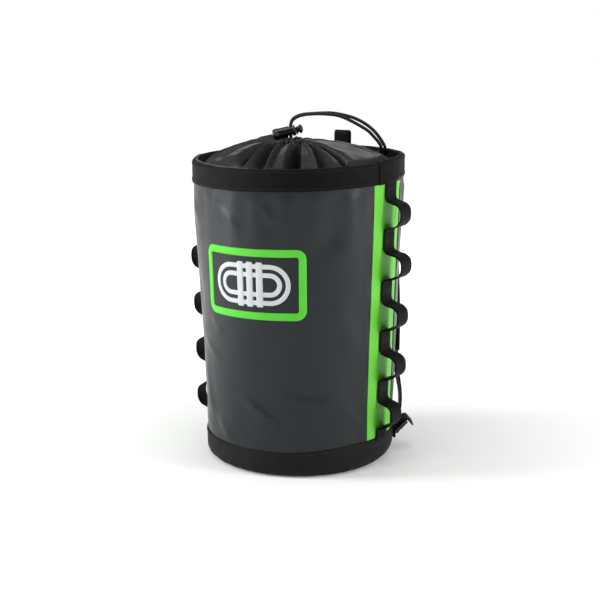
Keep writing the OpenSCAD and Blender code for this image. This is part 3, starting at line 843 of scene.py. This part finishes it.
def collar_grid():
    theta = np.linspace(0, 360, 840, endpoint=False)
    t = np.sin(np.linspace(0.0, pi / 2, 80))
    a, t = np.meshgrid(theta, t, indexing="ij")
    b = np.radians(a)
    x, y = dome_plan(a, t)
    z = RIM_TOP - 24 + 44 * np.sqrt(np.clip(1 - t ** 2.3, 0, 1)) - 6 * np.exp(-t * t / 0.04)
    drop = fold_depth(a, t)
    near = 1 - ease(0.02, 0.34, t)
    drop += near * 2.6 * (1 - frill(b)) * ease(-0.03, 0.06, t)
    slack = ease(0.15, 0.5, t) * (1 - ease(0.8, 1, t))
    drop += slack * 0.8 * (1 + np.sin(4 * b + 5 * t) * np.sin(7 * b - 4 * t))
    drop += slack * 0.45 * (1 + np.sin(17 * b + 9 * t) * np.sin(23 * t + 3 * b))
    side = (a + 180) % 360 - 180
    shoulder = ease(SHOULDER[0] - 12, SHOULDER[0], side)
    shoulder = shoulder * (1 - ease(SHOULDER[1], SHOULDER[1] + 14, side))
    drop += shoulder * 9 * ease(0.79, 0.9, t) * (1 - ease(0.93, 1, t))
    apex = np.clip(1 - np.hypot(x - 3, y - 1) / 48, 0, 1) ** 1.6
    behind_lock = np.exp(-((x + 42) / 30) ** 2 - ((y - 24) / 22) ** 2) * ease(0.04, 0.2, t)
    grid = np.stack([x, y, z], axis=-1)
    out = normals(grid[:, ::-1], True)[:, ::-1]
    grid = grid - out * drop[..., None]
    grid[..., 2] += 5.5 * behind_lock + 6.2 * apex
    seam = grid[:, -1:].copy()
    skirt = np.concatenate([seam - (0, 0, dz) for dz in (2.5, 5, 7)], axis=1)
    return under_lock(np.concatenate([hem_grid(theta), grid, skirt], axis=1)[:, ::-1])


def under_lock(grid):
    """Presses the cloth down to the underside of the cord lock where the lock lies on it."""
    place = grid - LOCK_AT
    turn, rise = radians(LOCK_TURN), radians(LOCK_RISE)
    along_lock = place[..., 0] * cos(turn) + place[..., 1] * sin(turn)
    beside = place[..., 1] * cos(turn) - place[..., 0] * sin(turn)
    reach = np.clip((LOCK_R + LOCK_GAP) ** 2 - beside ** 2, 0, None)
    roof = LOCK_AT[2] + along_lock * tan(rise) - np.sqrt(reach) / cos(rise)
    over = (reach > 0) & (along_lock > LOCK_LEFT - 3) & (along_lock < LOCK_RIGHT + 3)
    grid[..., 2] = np.where(over, np.minimum(grid[..., 2], roof), grid[..., 2])
    return grid


def hem_grid(theta):
    """The bunched hem round the cord, from inside the throat over the top to the collar."""
    b = np.radians(theta)[:, None]
    a = np.linspace(1.3 * pi, -0.1 * pi, 20)[None, :]
    minor = 2.5 + 2.7 * frill(b) * (1 + 0.35 * np.sin(3 * b + 1)) + 0 * a
    minor = np.where(np.cos(a) < 0, np.minimum(minor, 2.9), minor)
    r = HEM_R + minor * np.cos(a)
    z = HEM_Z + minor * np.sin(a)
    return np.stack([THROAT[0] + r * np.sin(b), THROAT[1] - r * np.cos(b), z], axis=-1)


shell("collar_cloth", collar_grid(), 0.5, collar_look, around_u=True, slot="collar_nylon",
      stands_for=["collar", "collar_hem"])


# ---- Badge ----
def badge_point(s, h, lift):
    """A point on the badge: s to the right and h above its centre."""
    beta = np.degrees(s / wall_r(BADGE_Z)) + BADGE_TURN
    return wall_point(beta, BADGE_Z + h, lift)


def rounded(w, h, r, step):
    """Outline of a rounded rectangle with its outward directions, as two arrays."""
    points, out = [], []
    for k, (cx, cy) in enumerate([(1, 1), (-1, 1), (-1, -1), (1, -1)]):
        for a in np.linspace(0, pi / 2, 12) + k * pi / 2:
            points.append((cx * (w / 2 - r) + r * cos(a), cy * (h / 2 - r) + r * sin(a)))
            out.append((cos(a), sin(a)))
    points, out = np.asarray(points), np.asarray(out)
    closed = np.vstack([np.hstack([points, out]), np.hstack([points, out])[:1]])
    s = along(closed[:, :2])
    at = np.linspace(0, s[-1], int(s[-1] / step), endpoint=False)
    even = sampled(closed, s, at)
    return even[:, :2], unit(even[:, 2:])


def badge_ring(name, w, h, r, width, base, top, look, slot, node=()):
    """A raised band along a rounded rectangle, w and h being measured at its middle."""
    line, out = rounded(w, h, r, 1.6)
    offsets = np.linspace(-0.5, 0.5, 9)
    p = line[:, None] + out[:, None] * (offsets * width)[None, :, None]
    crown = base + (top - base) * (1 - np.abs(2 * offsets) ** 6)
    grid = badge_point(p[..., 0], p[..., 1], crown[None, :])
    return shell(name, grid[:, ::-1], 0.3, look, around_u=True, slot=slot, stands_for=node)


def badge_plate(name, w, h, r, base, top, look, slot, node=(), at=(0, 0)):
    """A raised plate with round corners."""
    y = h / 2 * np.sin(np.linspace(-pi / 2, pi / 2, 41))
    inset = np.clip(np.abs(y) - (h / 2 - r), 0, r)
    half = w / 2 - r + np.sqrt(np.clip(r * r - inset * inset, 0.0004, None))
    u = np.sin(np.linspace(-pi / 2, pi / 2, max(9, int(w / 1.6))))
    s = u[:, None] * half[None, :] + at[0]
    hh = np.broadcast_to(y[None, :], s.shape) + at[1]
    edge = np.minimum(1 - np.abs(u)[:, None] ** 10, 1 - np.abs(2 * y / h)[None, :] ** 10)
    lift = base + (top - base) * edge
    return shell(name, badge_point(s, hh, lift), 0.25, look, slot=slot, stands_for=node)


badge_plate("badge_plate", 118, 68, 6, 0.3, 0.5, badge_dark, "badge_dark", ["badge_field"])
badge_ring("badge_rim", 123, 73, 7.5, 9, 0.3, 1.15, badge_green, "badge_green", ["badge_border"])
badge_ring("badge_loop_outer", 90.5, 42, 20.9, 5.5, 0.5, 0.95, badge_pale, "badge_pale",
           ["badge_symbol"])
badge_ring("badge_loop_inner", 71, 22.5, 11.2, 5.5, 0.5, 0.95, badge_pale, "badge_pale")
for k, x in enumerate((-12, 0, 12)):
    badge_plate(f"badge_bar_{k + 1}", 8, 52, 1.6, 0.6, 1.2, badge_pale, "badge_pale", at=(x, 0))


# ---- Daisy chains ----
def chain_line(outs, drop):
    points = [(0, RIM_FOOT + 8)]
    for k, out in enumerate(outs):
        crest = LOOP_TOP - drop - k * LOOP_PITCH
        points += [(x * out / 18, crest + y) for x, y in spline(LOOP_LINE, 6)]
    points += [(0, BAND_TOP + 0.3)]
    line = evenly(np.asarray(points, float), 1.5)
    return np.stack([wall_r(line[:, 1]) + WEB_T / 2 + 0.1 + line[:, 0], line[:, 1]], axis=1)


def daisy_chain(name, beta, outs, drop, node):
    """Webbing with loops, at an angle from the front, and the lines of its stitching."""
    line = chain_line(outs, drop)
    b = radians(beta)
    away, side = np.array([sin(b), -cos(b), 0.0]), np.array([cos(b), sin(b), 0.0])
    up = np.array([0.0, 0.0, 1.0])
    sway = 0.35 * np.sin(line[:, 1] / 21 + b)
    centre = away * line[:, :1] + up * line[:, 1:] + side * sway[:, None]
    centre = lean(centre)
    sides = np.tile(side, (len(line), 1))
    out = unit(np.cross(sides, np.gradient(centre, axis=0)))
    out *= np.sign(out[:1] @ away)[:, None]
    lay_along(name, centre, sides, out, WEB_W, WEB_T, webbing, slot="webbing", stands_for=[node])
    rows = []
    across = np.linspace(-10.5, 10.5, 12)[:, None]
    for k in range(len(outs) + 1):
        top = LOOP_TOP - drop - (k - 1) * LOOP_PITCH - 19.5 if k else RIM_FOOT - 2
        foot = LOOP_TOP - drop - k * LOOP_PITCH + 22 if k < len(outs) else BAND_TOP + 3
        for z in (top - 1.2, top - 3.2, foot + 1.2, foot + 3.2):
            points = lean(away * (wall_r(z) + WEB_T + 0.14) + side * across + up * z)
            rows.append((points, np.tile(away, (12, 1))))
    return rows


chain_rows = daisy_chain("daisy_webbing_right", SIDE_MID, RIGHT_OUT, 0, "daisy_chain_right")
chain_rows += daisy_chain("daisy_webbing_left", -SIDE_MID, LEFT_OUT, LEFT_DROP, "daisy_chain_left")
stitches("daisy_stitching", chain_rows, thread, pitch=2.3, length=1.7, slot="webbing")

# ---- Haul loop ----
haul_mid = (RIM_R + RIM_IN) / 2
haul_r = (RIM_R - RIM_IN) / 2 + WEB_T / 2 + 0.1
haul_path = [(haul_r, z) for z in (*np.linspace(338.5, 366, 24), *np.linspace(367, 374.5, 7))]
haul_path += [(haul_r * cos(a), 375.2 + (haul_r + 0.2) * sin(a)) for a in np.linspace(0, pi, 15)]
haul_path += [(-haul_r, z) for z in np.linspace(374.5, 354.5, 16)]
haul_path = np.asarray(haul_path) + (haul_mid, 0)
haul_centre = np.stack([0 * haul_path[:, 0], haul_path[:, 0], haul_path[:, 1]], axis=1)
haul_side = np.tile([1.0, 0.0, 0.0], (len(haul_path), 1))
haul_out = np.cross(unit(np.gradient(haul_centre, axis=0)), haul_side)
haul_out *= np.sign(haul_out[0, 1])
haul = lay_along("haul_webbing", haul_centre, haul_side, haul_out, HAUL_W, WEB_T, webbing,
                 body=None, slot=None)
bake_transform(haul)
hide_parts("haul_loop", "haul_anchor")
haul_across = np.linspace(-8.5, 8.5, 10)[:, None] * (1.0, 0, 0)
haul_face = haul_mid + haul_r + WEB_T / 2 + 0.03
haul_rows = [(haul_across + (0, haul_face, z), np.tile([0.0, 1, 0], (10, 1)))
             for z in (340, 342, 350, 352)]
stitches("haul_stitching", haul_rows, thread, pitch=2.3, length=1.7, slot="webbing")


# ---- Shoulder straps ----
def strap_frame(route, sign, steps):
    """Centre line and directions across of a strap that lies round the wall."""
    p = spline(route, steps)
    beta, z, off = np.radians(p[:, 0]), p[:, 1], p[:, 2]
    r = wall_r(z) + off
    centre = np.stack([sign * r * np.sin(beta), -r * np.cos(beta), z], axis=1)
    out = unit(centre * (1, 1, 0))
    return centre, unit(np.cross(unit(np.gradient(centre, axis=0)), out))


def stand_off(points, centre, height):
    """Moves a strap's points to a height over its centre line, measured off the wall."""
    base = np.hypot(centre[..., 0], centre[..., 1]) + wall_r(points[..., 2])
    base = base - wall_r(centre[..., 2]) + height
    points[..., :2] *= (base / np.hypot(points[..., 0], points[..., 1]))[..., None]


def bent_strip(name, lie, width, low, high, look, crown, **rest):
    """A strap layer that bends round the wall across its width too."""
    centre, side = lie
    s = np.concatenate([np.linspace(-1, 1, 15), [1.0], np.linspace(1, -1, 15), [-1.0]])
    puff = crown * (1 - np.abs(s) ** 3)
    mid = (low + high) / 2
    h = np.concatenate([high + puff[:15], [mid], low + 0 * puff[16:31], [mid]])
    rim = np.where(np.abs(h - mid) < 1e-6, 1.0, 0.985)
    offset = s * rim * width / 2
    grid = centre[:, None] + side[:, None] * offset[None, :, None]
    stand_off(grid, centre[:, None], h)
    u = np.concatenate([offset, offset[:1]])
    return loft(name, grid, u, along(centre), look, **rest)


def strap_edge(lie, offset, height):
    centre, side = lie
    line = centre + side * offset
    stand_off(line, centre, height)
    return line, unit(line * (1, 1, 0))


for word, sign in (("right", 1), ("left", -1)):
    lie = strap_frame(PAD_ROUTE, sign, 12)
    pad = bent_strip(f"strap_foam_{word}", lie, STRAP_W, 0, 2.6, strap_mesh, 0.3,
                     slot="strap_mesh", stands_for=[f"strap_pad_{word}"])
    bent_strip(f"strap_cover_{word}", lie, STRAP_W - 3, 2.9, 3.7, strap_cloth, 0.5,
               slot="strap_fabric", stands_for=[f"strap_face_{word}"])
    bent_strip(f"strap_ribbon_{word}", lie, WEB_W, 4.2, 5.0, webbing, 0.0, slot="webbing")
    for offset in (-STRAP_W / 2 + 0.4, STRAP_W / 2 - 0.4):
        line, out = strap_edge(lie, offset, 2.6)
        edge_word = "front" if offset > 0 else "rear"
        tube(f"strap_piping_{word}_{edge_word}", evenly(line, 2), 1.7, strap_cloth, 8,
             slot="strap_fabric")
    rows = [strap_edge(lie, x, 5.05) for x in (-WEB_W / 2 + 2, WEB_W / 2 - 2)]
    rows += [strap_edge(lie, x, 4.05) for x in (-18.5, 18.5)]
    stitches(f"strap_stitching_{word}", rows, thread, slot="strap_fabric")
    bent_strip(f"strap_web_{word}", strap_frame(WEB_ROUTE, sign, 6), WEB_W, 0, WEB_T, webbing, 0.0,
               slot="webbing", stands_for=[f"strap_webbing_{word}"])

YOKE_SPAN, YOKE_FOOT = (157, 203), 296
yoke_beta, yoke_z = np.meshgrid(
    np.linspace(*YOKE_SPAN, 50), np.linspace(YOKE_FOOT, RIM_FOOT + 1, 24), indexing="ij"
)
yoke_edge = np.minimum(yoke_beta - YOKE_SPAN[0], YOKE_SPAN[1] - yoke_beta) * 2.1
yoke_edge = np.minimum(yoke_edge, yoke_z - YOKE_FOOT)
yoke_grid = wall_point(yoke_beta, yoke_z, 0.5 + 0.8 * ease(0, 2.5, yoke_edge))
shell("yoke_cloth", yoke_grid, 0.8, strap_cloth, slot="strap_fabric", stands_for=["strap_yoke"])

# ---- Cord lock ----
lock_turn, lock_rise = radians(LOCK_TURN), radians(LOCK_RISE)
LOCK_WAY = np.array([cos(lock_turn) * cos(lock_rise), sin(lock_turn) * cos(lock_rise),
                     sin(lock_rise)])
lock_a, lock_b = (d[0] for d in carried(np.array([LOCK_WAY * k for k in range(3)]), (0, 0, 1)))


def lock_round(name, profile, body, ring_shaped=True):
    """A moulded ring or cap round the lock's axis, from (radius, place along it)."""
    turn = np.linspace(0, 2 * pi, 64, endpoint=False)[:, None]
    p = np.asarray(profile, float)[None]
    ring = lock_a * np.cos(turn)[..., None] + lock_b * np.sin(turn)[..., None]
    grid = np.array(LOCK_AT) + ring * p[..., :1] + LOCK_WAY * p[..., 1:]
    n, m = grid.shape[:2]
    faces, places = quads(n, m, True, ring_shaped)
    if not ring_shaped:
        faces.append([k * m for k in reversed(range(n))])
        faces.append([k * m + m - 1 for k in range(n)])
    return piece(name, grid.reshape(-1, 3), faces, plastic, body=body, slot="moulded_plastic")


def lock_ribs(start, end, radius, rise, count):
    """Outline of a band with fine rounded ribs round the lock."""
    at = np.linspace(start, end, count * 8 + 1)
    wave = np.abs(np.sin((at - start) / (end - start) * count * pi)) ** 0.7
    return [(radius - 0.4, start), *zip(radius + rise * wave, at), (radius - 0.4, end)]


cap = [(LOCK_R * sin(a) * 0.98, LOCK_LEFT + 0.6 - 2.2 * cos(a))
       for a in np.linspace(0.02, pi / 2, 12)]
lock_round("lock_cap", cap, LOCK_BODY, ring_shaped=False)
for name, start, end, radius, rise, count, body in (
    ("lock_ribs_left", LOCK_LEFT + 0.8, LOCK_LEFT + 5.6, LOCK_R, 0.42, 3, LOCK_BODY),
    ("lock_lip", LOCK_RIGHT - 1.2, LOCK_RIGHT - 0.3, LOCK_R, 0.35, 1, LOCK_BODY),
    ("knob_ring", KNOB_AT, KNOB_AT + 1.6, KNOB_R, 0.35, 1, KNOB_BODY),
):
    lock_round(name, lock_ribs(start, end, radius + 0.02, rise, count), body)

# The spring, which shortens when the plunger is pressed, is drawn at one length between the closed
# end of the barrel and the plunger
SPRING_FROM, SPRING_TO, SPRING_R, SPRING_WIRE, SPRING_TURNS = -18.0, -8.5, 3.9, 0.8, 5
wind = np.linspace(0, 2 * pi * SPRING_TURNS, 121)[:, None]
spring_at = np.array(LOCK_AT) + LOCK_WAY * np.linspace(SPRING_FROM, SPRING_TO, 121)[:, None]
spring_line = spring_at + SPRING_R * (lock_a * np.cos(wind) + lock_b * np.sin(wind))
spring = tube("spring_coil", spring_line, SPRING_WIRE / 2, steel, 8, body=None, slot=None)
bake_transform(spring)
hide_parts("lock_spring")


# ---- Finishes of the pieces that keep their shape ----
for look, *nodes in (
    (base_cloth, "base_disc"), (black_steel, "drain_eyelets"), (hoop_plastic, "rim_hoop"),
    (cord_look, "hem_cord"),
    (plastic, "ladder_lock_left", "ladder_lock_right", "lock_barrel", "lock_plunger"),
    (webbing, "buckle_tab_left", "buckle_tab_right", "webbing_tail_left", "webbing_tail_right",
     "tie_in_loop"),
):
    for node in nodes:
        repaint(node, look)

# ---- Floor and light ----
floor_mesh = bpy.data.meshes.new("floor")
floor_mesh.from_pydata([(-4, -4, 0), (4, -4, 0), (4, 4, 0), (-4, 4, 0)], [], [(0, 1, 2, 3)])
floor = bpy.data.objects.new("floor", floor_mesh)
floor_look = Look("floor", (0.92, 0.92, 0.92), 0.9, Specular_IOR_Level=0.1,
                  Emission_Color=(1, 1, 1, 1))
# The floor glows with an emission that grows away from the bag: painted light that whitens it like
# a lit paper sweep
spot = floor_look.node("ShaderNodeVectorMath", {0: floor_look.place}, operation="LENGTH")
glow = floor_look.span(spot.outputs["Value"], 0.25, 1.1, 0.1, 0.6)
floor_look.tree.links.new(glow, floor_look.shader.inputs["Emission Strength"])
floor_mesh.materials.append(floor_look.mat)
bpy.context.scene.collection.objects.link(floor)

# The room's light comes from the two sides and above, and is dim in front and behind, while the
# background itself is white
FRONT = radians(26.0)
BRIGHT, DIM = 0.66, 0.1
world = bpy.data.worlds.new("world")
world.use_nodes = True
room = Nodes(world.node_tree)
sky = room.tree.nodes["Background"]
sky.inputs["Color"].default_value = (1, 1, 1, 1)
way = room.node("ShaderNodeTexCoord").outputs["Generated"]
towards = room.node("ShaderNodeVectorMath", {0: way, 1: (sin(FRONT), -cos(FRONT), 0)},
                    operation="DOT_PRODUCT")
ahead = room.maths("ABSOLUTE", towards.outputs["Value"])
glow = room.span(ahead, 0.1, 0.95, BRIGHT, DIM, interpolation_type="SMOOTHSTEP")
seen = room.node("ShaderNodeLightPath").outputs["Is Camera Ray"]
strength = room.node("ShaderNodeMix", {0: seen, 2: glow, 3: 1.0}).outputs[0]
room.tree.links.new(strength, sky.inputs["Strength"])
bpy.context.scene.world = world


def softbox(name, turn_deg, height, out, size, power, aim=(0, 0, 0.2)):
    """A square area light at an angle round the bag, counted as the camera's is."""
    lamp = bpy.data.objects.new(name, bpy.data.lights.new(name, "AREA"))
    lamp.data.shape = "RECTANGLE"
    lamp.data.size, lamp.data.size_y = size
    lamp.data.energy = power
    a = radians(turn_deg)
    lamp.location = (out * sin(a), -out * cos(a), height)
    away = Vector(aim) - lamp.location
    lamp.rotation_euler = away.to_track_quat("-Z", "Y").to_euler()
    bpy.context.scene.collection.objects.link(lamp)


softbox("key_left", -60, 0.75, 1.5, (0.45, 1.3), 22)
softbox("key_right", 92, 0.7, 1.5, (0.4, 1.2), 11)
softbox("top", 26, 2.0, 0.3, (1.2, 1.2), 9)
softbox("back", 205, 1.2, 1.8, (1.2, 1.0), 5)

bpy.context.scene.view_settings.view_transform = "Standard"
